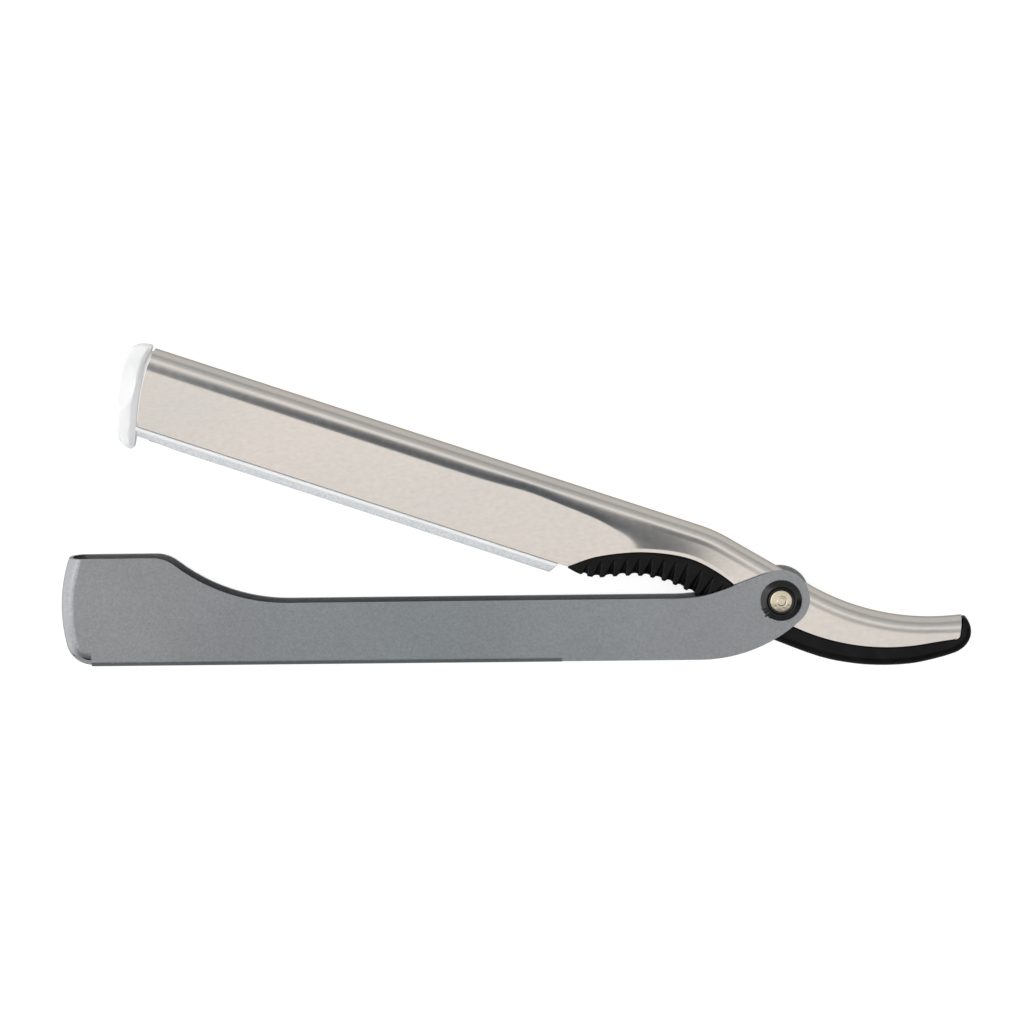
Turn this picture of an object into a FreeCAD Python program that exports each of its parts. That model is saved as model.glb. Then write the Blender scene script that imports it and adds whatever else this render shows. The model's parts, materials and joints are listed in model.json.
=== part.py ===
"""Folding straight razor with a replaceable blade, lying on its side.

The handle is one folded sheet of steel, open along the top, with a short floor under the blade's
edge. The blade holder, its shank and its tail are a second folded sheet, which turns on a rivet
through the handle's round end. A black moulded insert fills the shank and the tail, and a white
plastic inlay, which slides in from the toe, carries the blade.

Millimetres. X runs along the handle, from its folded end towards the tail, Y from the handle's
floor towards its open edge, and Z up through the thickness. Every piece is first built round the
pivot, at (0, 0, 0) in the mid-plane, with the holder lying along the handle as if it were shut.
The holder is then turned open, and everything is moved so that the origin is at the centre of the
whole object's footprint, on the surface that it lies on.
"""

import FreeCAD
import Part

import math
import os

from FreeCAD import Vector

# ---- driving dimensions -------------------------------------------------------------------

OPEN_ANGLE = 18.94          # the holder's angle to the handle as stored, degrees

# handle: one folded sheet
HANDLE_SHEET = 0.6
HANDLE_WIDTH = 5.8          # outside, across both sides
HANDLE_FLOOR = -10.3        # the outside of the floor
SIDE_EDGE = -10.1           # the sides' lower edge past the floor
NECK_TOP = 0.4              # the open edge along the slim part
HEAD_TOP = 8.4             # the open edge over the folded end
END_X = -123.1              # the fold's furthest point
END_BULGE = 27.0            # the end's own radius in the side view
END_CENTRE_Y = -0.8
FOLD_RADIUS = 2.4           # the end fold's corners, outside
CORNER_RADIUS = 4.6         # the side view's corner between the folded end and the floor
FLOOR_BEND = 0.85           # the bend into the floor, outside
FLOOR_GAP = 0.12            # where the floor stops short of the back side
FLOOR_TO = -37.3
RELIEF_DEPTH = 1.4          # how deep the notch before the floor goes
EYE = Vector(-0.1, 0.2, 0)  # centre of the round end
EYE_RADIUS = 4.95
BELLY_FROM = -13.8          # where the lower edge leaves the straight
THROAT_FROM = -18.0         # where the upper edge leaves the straight
THROAT_RADIUS = 23.7
SWEEP_FROM = -83.95         # where the upper edge starts to climb to the head
SWEEP_RADIUS = 31.0
SHOULDER_RADIUS = 6.0

# blade holder, shank and tail: one folded sheet, in its own frame with the spine along X
HOLDER_SHEET = 0.5
SPINE_TOP = 7.5
HOLDER_HALF = 2.05          # half the width of the rolled spine and of the shank
HOLDER_EDGE = -6.0
TOE_X = -113.0
HEEL_X = -36.1
SHANK_SLOPE = 12.0          # how far the shank drops from the spine's line, degrees
SHANK_BEND = Vector(-17.0, SPINE_TOP, 0)
SHANK_BEND_RADIUS = 26.0
TAIL_FROM = 4.0
TAIL_RADIUS = 40.0
TAIL_ANGLE = 35.3           # where the tail's lower edge ends, about the centre of its arc

# moulded insert
INSERT_HALF = 1.95
INSERT_ROUND = 0.45
CORE_HALF = 1.2
TOOTH_PITCH = 2.0
TOOTH_COUNT = 12

# inlay and blade
TAB_HALF = 2.0
TAB_ROUND = 0.6
INLAY_EDGE = -8.1
INLAY_HEEL = -37.8
BLADE_LENGTH = 62.0
BLADE_WIDTH = 9.4
BLADE_THICK = 0.25
BLADE_EDGE = -8.0
BLADE_FROM = -110.5

# pivot
RIVET_RADIUS = 1.5
RUNNING = 0.08              # radial clearance of what turns on the rivet
COLLAR_RADIUS = 3.5
COLLAR_HEIGHT = 0.8
RIVET_HEAD_RADIUS = 1.88
WASHER_RADIUS = 3.0

INNER_HALF = HANDLE_WIDTH / 2 - HANDLE_SHEET
OUTER_HALF = HANDLE_WIDTH / 2
FAR = 60.0                  # longer than any cut needs to be


# ---- helpers ------------------------------------------------------------------------------

def at(x, y, z=0.0):
    return Vector(x, y, z)


def line(a, b):
    return Part.LineSegment(a, b).toShape()


def arc(a, through, b):
    return Part.Arc(a, through, b).toShape()


def arc_about(centre, radius, start, end):
    """An arc in the XY plane, from one angle to another in degrees."""
    angles = [start, (start + end) / 2, end]
    return arc(*[polar(centre, radius, a) for a in angles])


def polar(centre, radius, degrees):
    a = math.radians(degrees)
    return centre + at(radius * math.cos(a), radius * math.sin(a))


def curve(points):
    spline = Part.BSplineCurve()
    spline.interpolate(points)
    return spline.toShape()


def slab(edges, low, high):
    """A flat outline, which lies in the mid-plane, as a solid from one height to another."""
    face = Part.Face(Part.Wire(Part.__sortEdges__(edges)))
    face.translate(at(0, 0, low))
    return face.extrude(at(0, 0, high - low))


def block(low, high):
    return Part.makeBox(high.x - low.x, high.y - low.y, high.z - low.z, low)


def post(radius, low, high):
    return Part.makeCylinder(radius, high - low, at(0, 0, low))


def polygon(points):
    return [line(a, b) for a, b in zip(points, points[1:] + points[:1])]


def turned(profile):
    """A solid of revolution about the pivot from (radius, height) pairs."""
    points = [at(r, 0, z) for r, z in profile]
    face = Part.Face(Part.Wire(polygon(points)))
    return face.revolve(at(0, 0, 0), at(0, 0, 1), 360)


def mirrored(shape):
    """The same piece on the other side of the mid-plane."""
    return shape.mirror(at(0, 0, 0), at(0, 0, 1))


def rounded(solid, radius, wanted):
    """Fillets the edges that wanted(edge) picks."""
    return solid.makeFillet(radius, [e for e in solid.Edges if wanted(e)])


def level(edge, z):
    """True if an edge lies flat at this height."""
    box = edge.BoundBox
    return abs(box.ZMin - z) < 1e-4 and abs(box.ZMax - z) < 1e-4


# ---- handle -------------------------------------------------------------------------------

def handle_outline():
    """The side view: round end, belly, floor, cut corner, folded end, head, sweep and neck."""
    belly_rise = EYE.y - SIDE_EDGE
    run = EYE.x - BELLY_FROM
    belly_radius = (run ** 2 + belly_rise ** 2 - EYE_RADIUS ** 2) / (2 * (belly_rise - EYE_RADIUS))
    belly = at(BELLY_FROM, SIDE_EDGE + belly_radius)
    belly_end = math.degrees(math.atan2(EYE.y - belly.y, EYE.x - belly.x))
    throat = at(THROAT_FROM, NECK_TOP + THROAT_RADIUS)
    # The straight from the throat to the eye touches both circles.
    between = EYE - throat
    lean = math.degrees(math.asin((THROAT_RADIUS + EYE_RADIUS) / between.Length))
    climb = math.degrees(math.atan2(between.y, between.x)) + lean
    shoulder_drop = HEAD_TOP - SHOULDER_RADIUS - (NECK_TOP + SWEEP_RADIUS)
    spread = SWEEP_RADIUS + SHOULDER_RADIUS
    shoulder = at(SWEEP_FROM - math.sqrt(spread ** 2 - shoulder_drop ** 2), HEAD_TOP - SHOULDER_RADIUS)
    sweep = at(SWEEP_FROM, NECK_TOP + SWEEP_RADIUS)
    sweep_end = math.degrees(math.atan2(shoulder.y - sweep.y, shoulder.x - sweep.x))
    left = END_X - 1
    bends = [
        arc_about(belly, belly_radius, -90, belly_end),
        arc_about(EYE, EYE_RADIUS, belly_end, 90 + climb),
        arc_about(throat, THROAT_RADIUS, climb - 90, -90),
        arc_about(sweep, SWEEP_RADIUS, -90, sweep_end),
        arc_about(shoulder, SHOULDER_RADIUS, sweep_end + 180, 90),
        line(at(left, HEAD_TOP), at(left, HANDLE_FLOOR)),
        line(at(FLOOR_TO, HANDLE_FLOOR), at(FLOOR_TO, SIDE_EDGE)),
    ]
    joins = [p for bend in bends for p in bend_ends(bend)]
    joins = joins[1:] + joins[:1]
    return bends + [line(a, b) for a, b in zip(joins[0::2], joins[1::2]) if (a - b).Length > 1e-6]


def bend_ends(edge):
    """An edge's two ends, in the order that it was drawn in."""
    return edge.valueAt(edge.FirstParameter), edge.valueAt(edge.LastParameter)


def end_centres():
    """The centres of the end's two arcs, which touch: the bulge and the corner under it."""
    bulge = at(END_X + END_BULGE, END_CENTRE_Y)
    drop = bulge.y - (HANDLE_FLOOR + CORNER_RADIUS)
    across = math.sqrt((END_BULGE - CORNER_RADIUS) ** 2 - drop ** 2)
    return bulge, bulge - at(across, drop)


def coin(radius, centre, half, rim):
    disc = post(radius, -half, half)
    disc = disc.makeFillet(rim, [e for e in disc.Edges if level(e, half) or level(e, -half)])
    disc.translate(centre)
    return disc


def folded_blank(half, inset):
    """A long flat box, whose folded end bulges and has rounded corners."""
    bulge, corner = end_centres()
    rim = FOLD_RADIUS - inset
    beyond = bulge + (corner - bulge) * 2
    below = slab(polygon([bulge, beyond, beyond - at(0, FAR), bulge - at(0, FAR)]), -FAR, FAR)
    fold = coin(END_BULGE - inset, bulge, half, rim).cut(below)
    fold = fold.fuse(coin(CORNER_RADIUS - inset, corner, half, rim))
    fold = fold.common(block(at(-FAR * 3, -FAR, -half), at(corner.x, FAR, half)))
    return fold.fuse(block(at(corner.x, -FAR, -half), at(FAR, FAR, half)))


def handle_shell():
    """Both sides, the end fold and the floor, as one sheet."""
    inner_floor = HANDLE_FLOOR + HANDLE_SHEET
    body = slab(handle_outline(), -FAR, FAR).common(folded_blank(OUTER_HALF, 0))
    hollow = folded_blank(INNER_HALF, HANDLE_SHEET)
    floor = block(at(-FAR * 3, -FAR, -FAR), at(FLOOR_TO, inner_floor, FAR))
    body = body.cut(hollow.cut(floor))
    body = body.cut(bend_relief()).cut(outside_of_floor_bend())
    # The floor is bent from the front side only, and stops a hair short of the back one.
    seam = block(at(floor_start(), HANDLE_FLOOR - 1, -INNER_HALF), at(FLOOR_TO + 1, inner_floor, FLOOR_GAP - INNER_HALF))
    body = body.cut(seam)
    return body.cut(post(RIVET_RADIUS + 0.6, -FAR, FAR))


def floor_start():
    return end_centres()[1].x


def outside_of_floor_bend():
    """What the rounded bend leaves away from a square corner."""
    start, y, z = floor_start(), HANDLE_FLOOR + FLOOR_BEND, OUTER_HALF - FLOOR_BEND
    corner = block(at(start, y - FLOOR_BEND - 1, z), at(FLOOR_TO, y, OUTER_HALF + 1))
    bend = Part.makeCylinder(FLOOR_BEND, FLOOR_TO - start, at(start, y, z), at(1, 0, 0))
    return corner.cut(bend)


def bend_relief():
    """The notch in the front side where the end fold and the floor's bend meet."""
    right = floor_start()
    corners = [at(right - 3.2, -8.2), at(right - 1.9, -8.55), at(right - 0.3, -8.85), at(right, -9.15),
               at(right, -12), at(right - 3.2, -12)]
    return slab(polygon(corners), OUTER_HALF - RELIEF_DEPTH, FAR)


# ---- blade holder -------------------------------------------------------------------------

def top_line():
    """The arcs of the spine's top line: (centre, radius, start angle, end angle) of the two bends."""
    bend = SHANK_BEND - at(0, SHANK_BEND_RADIUS)
    a = math.radians(SHANK_SLOPE)
    bend_end = polar(bend, SHANK_BEND_RADIUS, 90 - SHANK_SLOPE)
    tail_start = bend_end + at(1, -math.tan(a)) * (TAIL_FROM - bend_end.x)
    tail = tail_start + at(math.sin(a), math.cos(a)) * TAIL_RADIUS
    return bend, bend_end, tail_start, tail


def on_top_line(x):
    """Where the top line is at x, and its slope there in radians."""
    bend, bend_end, tail_start, tail = top_line()
    if x <= bend.x:
        return at(x, SPINE_TOP), 0.0
    if x <= bend_end.x:
        a = math.asin((x - bend.x) / SHANK_BEND_RADIUS)
        return at(x, bend.y + SHANK_BEND_RADIUS * math.cos(a)), -a
    if x <= tail_start.x:
        a = math.radians(SHANK_SLOPE)
        return at(x, bend_end.y - (x - bend_end.x) * math.tan(a)), -a
    a = math.asin((x - tail.x) / TAIL_RADIUS)
    return at(x, tail.y - TAIL_RADIUS * math.cos(a)), a


def smooth(t):
    t = max(0.0, min(1.0, t))
    return t * t * (3 - 2 * t)


def half_width(depth, shank, skin):
    """Half the sheet's width at a depth below the top line. shank is 0 along the blade, where the
    sides pinch in under a rolled spine, and 1 along the shank and tail. skin is 0 for the outside
    and the sheet's thickness for the inside."""
    crown = 2.2 + 0.6 * shank - skin
    half = HOLDER_HALF - skin
    if depth - skin < crown:
        t = 1 - max(0.0, depth - skin) / crown
        return half * math.sqrt(max(0.0, 1 - t * t))
    pinch = 0.25 * smooth((depth - skin - crown) / 1.9)
    taper = 0.02 * max(0.0, depth - 4.0)
    return half - (1 - shank) * (pinch + taper)


def section(x, skin, reach):
    """One cross-section of the folded sheet, square to the top line, as a closed wire."""
    top, slope = on_top_line(x)
    down = at(math.sin(slope), -math.cos(slope))
    shank = smooth((x + 34.0) / 11.0)
    depths = [skin + (reach - skin) * (i / 14) ** 2 for i in range(15)]
    left = [top + down * d + at(0, 0, -half_width(d, shank, skin)) for d in depths[:0:-1]]
    right = [top + down * d + at(0, 0, half_width(d, shank, skin)) for d in depths[1:]]
    side = curve(left + [top + down * skin] + right)
    return Part.Wire([side, line(right[-1], left[0])])


def channel(stations, skin, reach):
    if len(stations) == 2:
        return Part.Face(section(stations[0], skin, reach)).extrude(at(stations[1] - stations[0], 0, 0))
    return Part.makeLoft([section(x, skin, reach) for x in stations], True, False)


def tail_edge(angle, drop=0.0):
    """A point on the tail's lower edge, an arc, at an angle from straight down."""
    return polar(at(8.05, 32.7), 36.75 + drop, angle - 90)


def arch_points(drop=0.0):
    """The lower edge from the heel's corner over the finger rest and down past the pivot."""
    rise = [(HEEL_X, HOLDER_EDGE), (-31.7, -2.75), (-24.9, 0.25), (-17.5, 1.75), (-11.5, 1.0), (-5.0, -1.3)]
    return [at(x, y - drop) for x, y in rise] + [tail_edge(-9, drop)]


def holder_trim():
    """The side view of the folded sheet, taken well above the spine."""
    arch = curve(arch_points())
    tail_corner, tail_tip = tail_edge(TAIL_ANGLE), at(29.9, 7.6)
    bottom = arc(tail_edge(-9), tail_edge(15), tail_corner)
    corner = arc(tail_corner, tail_corner + at(1.0, 0.95), tail_corner + at(1.1, 1.9))
    toe = arc(at(TOE_X, HOLDER_EDGE), at(TOE_X - 1.3, 2.0), at(TOE_X - 1.0, SPINE_TOP + 0.1))
    above = [at(TOE_X - 1.0, SPINE_TOP + 0.1), at(TOE_X - 1.0, FAR), at(tail_tip.x, FAR), tail_tip,
             tail_corner + at(1.1, 1.9)]
    outline = [toe, line(at(TOE_X, HOLDER_EDGE), at(HEEL_X, HOLDER_EDGE)), arch, bottom, corner]
    return slab(outline + [line(a, b) for a, b in zip(above, above[1:])], -FAR, FAR)


def blade_holder():
    trim = holder_trim()
    runs = [[-118, -36], [-36, -34, -30, -26, -22, -17], [-17, -13, -8, -2, TAIL_FROM],
            [TAIL_FROM, 10, 16, 22, 27, 33]]
    sheet = None
    for stations in runs:
        piece = channel(stations, 0, 16.5).common(trim).cut(channel(stations, HOLDER_SHEET, 17.5))
        sheet = sheet.fuse(piece) if sheet else piece
    return sheet.removeSplitter().cut(post(RIVET_RADIUS + RUNNING, -FAR, FAR))


# ---- moulded insert -----------------------------------------------------------------------

LOWER_EDGE = [(HEEL_X, -6.62), (-31.3, -6.3), (-26.5, -4.6), (-19.5, -3.3), (-12.5, -4.3), (-5.0, -6.4),
              (1.7, -7.2), (7.4, -7.55), (16.1, -6.75), (24.2, -4.2), (30.4, -0.5), (34.0, 2.6)]


def insert_section(point):
    """A U across the insert, rounder under the tail than at the finger rest."""
    round_off = INSERT_ROUND + 0.9 * smooth((point.x + 8) / 12)
    half = INSERT_HALF
    angles = [math.radians(a) for a in range(0, 181, 20)]
    under = [point + at(0, round_off * (1 - math.sin(a) ** 0.8), -half * math.cos(a)) for a in angles]
    top = [at(point.x, 9, half), at(point.x, 9, -half)]
    return Part.Wire([curve(under)] + [line(a, b) for a, b in zip([under[-1]] + top, top + [under[0]])])


def insert_skin():
    """What shows of the insert: the finger rest and the tail pad, as wide as the shank."""
    lower = curve([at(x, y) for x, y in LOWER_EDGE])
    count = 40
    stations = [lower.valueAt(lower.getParameterByLength(lower.Length * i / count)) for i in range(count + 1)]
    bar = Part.makeLoft([insert_section(p) for p in stations], True, False)
    gap = 0.1
    corner = tail_edge(TAIL_ANGLE, gap)
    upper = [curve(arch_points(gap)), arc(tail_edge(-9, gap), tail_edge(15, gap), corner)]
    tip = arc(at(31.0, -0.3), at(32.7, 3.9), at(30.6, 6.5))
    behind = [at(30.6, 6.5), at(30.2, 6.35), corner + at(1.3, 2.0), corner + at(1.15, 0.9), corner]
    below = [at(31.0, -0.3), at(31.0, -FAR), at(HEEL_X, -FAR), arch_points(gap)[0]]
    straights = [line(a, b) for a, b in list(zip(behind, behind[1:])) + list(zip(below, below[1:]))]
    return bar.common(slab(upper + [tip] + straights, -FAR, FAR))


def insert_core():
    """What holds the insert inside the folded sheet."""
    under = 2.6
    stations = [-33.5, -24.0, -17.0, -10.0, 4.0, 13.0, 22.0, 29.6]
    roof = [on_top_line(x)[0] - at(0, under) for x in stations]
    floor = [at(x, y) for x, y in [(-33.5, -5.4), (-30.0, -4.6), (-19.5, -1.2), (-5.0, -4.3), (7.4, -5.5),
                                   (16.1, -4.7), (24.2, -2.2), (29.6, 1.2)]]
    edges = [curve(roof), curve(floor), line(roof[0], floor[0]), line(roof[-1], floor[-1])]
    return slab(edges, -CORE_HALF, CORE_HALF)


def tooth_groove(at_point, slope):
    """A blunt V across the finger rest, square to its lower edge."""
    groove = slab(polygon([at(-0.62, -2), at(-0.62, -0.1), at(-0.12, 0.85), at(0.12, 0.85), at(0.62, -0.1),
                           at(0.62, -2)]), -FAR, FAR)
    groove.rotate(at(0, 0, 0), at(0, 0, 1), math.degrees(slope))
    groove.translate(at_point)
    return groove


def tang_insert():
    solid = insert_skin().fuse(insert_core())
    edge = curve([at(x, y) for x, y in LOWER_EDGE])
    for i in range(TOOTH_COUNT):
        where = edge.getParameterByLength(2.4 + i * TOOTH_PITCH)
        along = edge.tangentAt(where)
        solid = solid.cut(tooth_groove(edge.valueAt(where), math.atan2(along.y, along.x)))
    return solid.cut(post(RIVET_RADIUS + RUNNING, -FAR, FAR)).removeSplitter()


# ---- inlay and blade ----------------------------------------------------------------------

def strip(profile, start, end):
    """A solid along X from (depth, half width) pairs, the same on both sides."""
    points = [at(start, y, z) for y, z in profile] + [at(start, y, -z) for y, z in reversed(profile)]
    return Part.Face(Part.Wire(polygon(points))).extrude(at(end - start, 0, 0))


def finger_tab():
    """The D-shaped tab past the toe, rounded all over, with a shallow scoop on each side."""
    corners = [(-114.8, 7.6, 0.3), (-118.1, 7.6, 1.7), (-118.95, 3.2, 6.0), (-117.05, -7.6, 5.0),
               (-115.6, -10.45, 1.9), (-112.95, -10.45, 0.35), (-114.9, -1.0, 20.0)]
    tab = slab(polygon([at(x, y) for x, y, radius in corners]), -TAB_HALF, TAB_HALF)
    for x, y, radius in corners:
        tab = rounded(tab, radius, lambda e: is_upright(e, x, y))
    tab = rounded(tab, TAB_ROUND, lambda e: level(e, TAB_HALF) or level(e, -TAB_HALF))
    for side in (1, -1):
        tab = tab.cut(Part.makeSphere(9.0, at(-121.0, -1.0, side * 9.9)))
    return tab


def is_upright(edge, x, y):
    box = edge.BoundBox
    return box.XLength < 1e-5 and box.YLength < 1e-5 and abs(box.XMin - x) + abs(box.YMin - y) < 1e-3


def blade_inlay():
    body = strip([(3.2, 1.0), (HOLDER_EDGE + 0.3, 1.0), (HOLDER_EDGE - 0.12, 1.0), (HOLDER_EDGE - 0.2, 1.3),
                  (HOLDER_EDGE - 0.75, 1.3), (HOLDER_EDGE - 1.05, 0.95), (INLAY_EDGE, 0.45)], -115.6, INLAY_HEEL)
    neck = block(at(-115.6, 3.0, -1.0), at(TOE_X + 0.6, 6.2, 1.0))
    # The exposed lip ends on a slant at the heel, clear of the finger rest.
    slant = [at(INLAY_HEEL, HOLDER_EDGE - 0.1), at(INLAY_HEEL - 1.1, INLAY_EDGE - 0.2), at(FAR, INLAY_EDGE - 0.2),
             at(FAR, HOLDER_EDGE - 0.1)]
    body = body.cut(slab(polygon(slant), -FAR, FAR))
    slot = block(at(BLADE_FROM - 0.3, -FAR, -BLADE_THICK / 2 - 0.03),
                 at(BLADE_FROM + BLADE_LENGTH + 0.3, BLADE_EDGE + BLADE_WIDTH + 0.2, BLADE_THICK / 2 + 0.03))
    return body.fuse(neck).fuse(finger_tab()).cut(slot).removeSplitter()


def razor_blade():
    half = BLADE_THICK / 2
    profile = [(BLADE_EDGE + BLADE_WIDTH, half), (BLADE_EDGE + 0.9, half), (BLADE_EDGE, 0.02)]
    return strip(profile, BLADE_FROM, BLADE_FROM + BLADE_LENGTH)


# ---- pivot --------------------------------------------------------------------------------

def outer_collar():
    """A dished plastic collar on the outside, with a sleeve that lines the handle's hole."""
    base, lip = OUTER_HALF, OUTER_HALF + COLLAR_HEIGHT
    bore, sleeve = RIVET_RADIUS + 0.05, RIVET_RADIUS + 0.55
    return turned([(bore, INNER_HALF + 0.02), (sleeve, INNER_HALF + 0.02), (sleeve, base), (COLLAR_RADIUS, base),
                   (COLLAR_RADIUS, base + 0.25), (COLLAR_RADIUS - 0.1, base + 0.33), (2.55, lip), (2.35, lip),
                   (2.2, base + 0.42), (bore, base + 0.42)])


def inner_washer():
    bore = RIVET_RADIUS + 0.05
    low, high = HOLDER_HALF + 0.03, INNER_HALF - 0.02
    return turned([(bore, low), (WASHER_RADIUS, low), (WASHER_RADIUS, high), (bore, high)])


def pivot_rivet():
    """A solid rivet: a shallow domed head in front and a peened tail behind, each with a dimple."""
    seat = OUTER_HALF + 0.44
    head = [(0, seat + 0.42), (0.75, seat + 0.45), (0.95, seat + 0.56), (1.5, seat + 0.54),
            (RIVET_HEAD_RADIUS - 0.08, seat + 0.4), (RIVET_HEAD_RADIUS, seat + 0.25), (RIVET_HEAD_RADIUS, seat)]
    tail = [(RIVET_HEAD_RADIUS - 0.05, -seat), (RIVET_HEAD_RADIUS - 0.05, -seat - 0.2), (1.5, -seat - 0.42),
            (0.8, -seat - 0.46), (0.6, -seat - 0.34), (0, -seat - 0.3)]
    return turned(head + [(RIVET_RADIUS, seat), (RIVET_RADIUS, -seat)] + tail)


# ---- the whole razor ----------------------------------------------------------------------

def opened(shape):
    shape.rotate(at(0, 0, 0), at(0, 0, 1), -OPEN_ANGLE)
    return shape


def build():
    pieces = {
        "handle_shell": handle_shell(),
        "outer_collar_front": outer_collar(),
        "outer_collar_back": mirrored(outer_collar()),
        "inner_washer_front": inner_washer(),
        "inner_washer_back": mirrored(inner_washer()),
        "pivot_rivet": pivot_rivet(),
        "blade_holder": opened(blade_holder()),
        "tang_insert": opened(tang_insert()),
        "blade_inlay": opened(blade_inlay()),
        "razor_blade": opened(razor_blade()),
    }
    whole = FreeCAD.BoundBox()
    for shape in pieces.values():
        whole.add(shape.optimalBoundingBox())
    shift = at(-whole.Center.x, -whole.Center.y, -whole.ZMin)
    for shape in pieces.values():
        shape.translate(shift)
    return pieces, whole, shift


def main():
    os.makedirs("parts", exist_ok=True)
    pieces, whole, shift = build()
    for name, shape in pieces.items():
        solids = shape.Solids
        print(name, "solids", len(solids), "valid", shape.isValid(), "mm3", round(shape.Volume, 1))
        out = solids[0] if len(solids) == 1 else Part.makeCompound(solids)
        out.exportStep(os.path.join("parts", name + ".step"))
    print("size", round(whole.XLength, 2), round(whole.YLength, 2), round(whole.ZLength, 2))
    print("pivot at", round(shift.x, 3), round(shift.y, 3), round(shift.z, 3))


main()
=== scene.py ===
import json
import math

import bmesh
import bpy
import numpy as np
from mathutils import Matrix, Vector


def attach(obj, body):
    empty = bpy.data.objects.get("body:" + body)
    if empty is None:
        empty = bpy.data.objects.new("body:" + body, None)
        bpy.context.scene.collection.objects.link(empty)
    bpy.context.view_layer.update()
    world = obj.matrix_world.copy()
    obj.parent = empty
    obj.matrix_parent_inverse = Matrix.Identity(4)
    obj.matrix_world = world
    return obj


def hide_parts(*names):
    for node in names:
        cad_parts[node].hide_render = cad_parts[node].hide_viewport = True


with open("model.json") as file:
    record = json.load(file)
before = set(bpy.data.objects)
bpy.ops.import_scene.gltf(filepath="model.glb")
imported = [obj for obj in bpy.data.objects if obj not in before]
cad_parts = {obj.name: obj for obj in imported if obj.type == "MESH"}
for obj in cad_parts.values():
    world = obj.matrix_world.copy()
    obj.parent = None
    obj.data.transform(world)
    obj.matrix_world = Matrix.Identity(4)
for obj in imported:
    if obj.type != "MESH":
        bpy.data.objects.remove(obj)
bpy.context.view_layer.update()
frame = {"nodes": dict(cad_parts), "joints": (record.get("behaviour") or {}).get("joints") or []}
MM = 0.001
OPEN_ANGLE = 18.94            # the arm's angle to the handle, degrees

PIVOT = Vector(frame["joints"][0]["pos_m"])


# ---- materials ----
NOISE_LOW, NOISE_HIGH = 0.3, 0.7           # a noise texture mostly stays between these
MIX_SHARE, MIX_A, MIX_B = 0, 6, 7          # the colour mix node's inputs
MIX_RESULT = 2                             # and its output
HANDLE_RUN = 120.0                         # from the pivot to the handle's folded end, mm


def shader_of(mat):
    return mat.node_tree.nodes["Principled BSDF"]


def node_material(name, base, rough, metal=0.0, **settings):
    mat = bpy.data.materials.new(name)
    mat.use_nodes = True
    shader = shader_of(mat)
    shader.inputs["Base Color"].default_value = (*base, 1)
    shader.inputs["Roughness"].default_value = rough
    shader.inputs["Metallic"].default_value = metal
    for socket, value in settings.items():
        shader.inputs[socket.replace("_", " ")].default_value = value
    return mat


def add_node(mat, kind, **values):
    node = mat.node_tree.nodes.new(kind)
    for key, value in values.items():
        if key in node.inputs:
            node.inputs[key].default_value = value
        else:
            setattr(node, key, value)
    return node


def link(mat, out_node, out_name, in_node, in_name):
    mat.node_tree.links.new(out_node.outputs[out_name], in_node.inputs[in_name])


def noise(mat, per_mm, detail=2.0, stretch=(1, 1, 1), turn=0.0):
    place = add_node(mat, "ShaderNodeTexCoord")
    mapping = add_node(mat, "ShaderNodeMapping")
    mapping.inputs["Rotation"].default_value = (0, 0, turn)
    mapping.inputs["Scale"].default_value = [s / MM for s in stretch]
    link(mat, place, "Object", mapping, "Vector")
    tex = add_node(mat, "ShaderNodeTexNoise", Scale=per_mm, Detail=detail)
    link(mat, mapping, "Vector", tex, "Vector")
    return tex


def ramp(mat, tex, stops, target, socket):
    node = add_node(mat, "ShaderNodeValToRGB")
    ends = node.color_ramp.elements
    while len(ends) < len(stops):
        ends.new(0.5)
    for element, (position, colour) in zip(ends, stops):
        element.position = position
        element.color = (*colour, 1)
    mat.node_tree.links.new(tex.outputs[0], node.inputs["Fac"])
    link(mat, node, "Color", target, socket)


def mottle(mat, tex, dark, light, target=None, socket="Base Color"):
    """Runs a colour from dark to light over the texture's usual range."""
    stops = [(NOISE_LOW, dark), (NOISE_HIGH, light)]
    ramp(mat, tex, stops, shader_of(mat) if target is None else target, socket)


def bump(mat, tex, height_mm):
    node = add_node(mat, "ShaderNodeBump", Strength=1.0, Distance=height_mm * MM)
    link(mat, tex, "Fac", node, "Height")
    link(mat, node, "Normal", shader_of(mat), "Normal")


def spread(mat, tex, low, high, socket):
    """Runs a number of the shader from low to high over the texture's usual range."""
    node = add_node(mat, "ShaderNodeMapRange")
    node.inputs["To Min"].default_value = low
    node.inputs["To Max"].default_value = high
    node.inputs["From Min"].default_value = NOISE_LOW
    node.inputs["From Max"].default_value = NOISE_HIGH
    link(mat, tex, "Fac", node, "Value")
    link(mat, node, "Result", shader_of(mat), socket)


def fine_grain(mat, tex, low, high):
    """Lightens and darkens the base colour a little, grain by grain."""
    mix = add_node(mat, "ShaderNodeMix", data_type="RGBA", blend_type="MULTIPLY")
    mix.inputs[MIX_SHARE].default_value = 1.0
    base = shader_of(mat).inputs["Base Color"]
    mat.node_tree.links.new(base.links[0].from_socket, mix.inputs[MIX_A])
    mottle(mat, tex, (low, low, low), (high, high, high), mix, MIX_B)
    mat.node_tree.links.new(mix.outputs[MIX_RESULT], base)


def handle_run(mat):
    """0 at the handle's folded end to 1 at the pivot."""
    place = add_node(mat, "ShaderNodeTexCoord")
    split = add_node(mat, "ShaderNodeSeparateXYZ")
    link(mat, place, "Object", split, "Vector")
    span = add_node(mat, "ShaderNodeMapRange")
    span.inputs["From Min"].default_value = PIVOT.x - HANDLE_RUN * MM
    span.inputs["From Max"].default_value = PIVOT.x
    link(mat, split, "X", span, "Value")
    return span


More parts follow.
